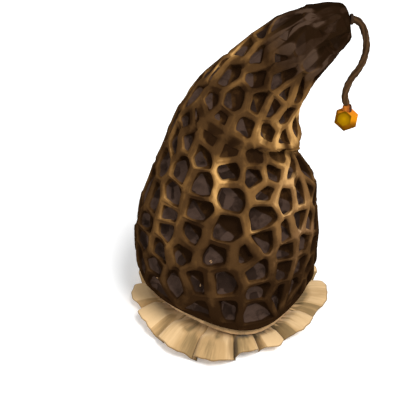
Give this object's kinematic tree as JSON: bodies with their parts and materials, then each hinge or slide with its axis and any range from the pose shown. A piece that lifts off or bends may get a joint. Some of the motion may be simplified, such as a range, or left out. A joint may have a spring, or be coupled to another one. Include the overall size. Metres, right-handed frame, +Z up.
{
  "type": "morel mushroom hat",
  "caption": "Slouching pointed hat shaped like a morel: ridged and pitted brown foam cone over a gathered cream brim, with an amber bead hanging from its bent tip.",
  "frame": {"origin": "middle of the gathered brim's footprint, on the surface that the brim rests on", "axes": "+Z up the hat, +X towards the side that the tip bends to and the bead hangs on, -Y towards the side seen at the front"},
  "size_m": [0.3094, 0.2894, 0.4578],
  "materials": {
    "cap_foam": "matte",
    "brim_fabric": "matte",
    "welt_fabric": "matte",
    "band_fabric": "matte",
    "tip_rubber": "matte",
    "stalk_cord": "matte",
    "cup_resin": "satin",
    "amber_resin": "gloss"
  },
  "bodies": {
    "root": {"cap_shell": "cap_foam", "rim_welt": "welt_fabric", "brim_ruffle": "brim_fabric", "sweatband": "band_fabric", "tip_ferrule": "tip_rubber", "tip_stalk": "stalk_cord", "bead_cup": "cup_resin", "bead": "amber_resin"}
  },
  "joints": []
}
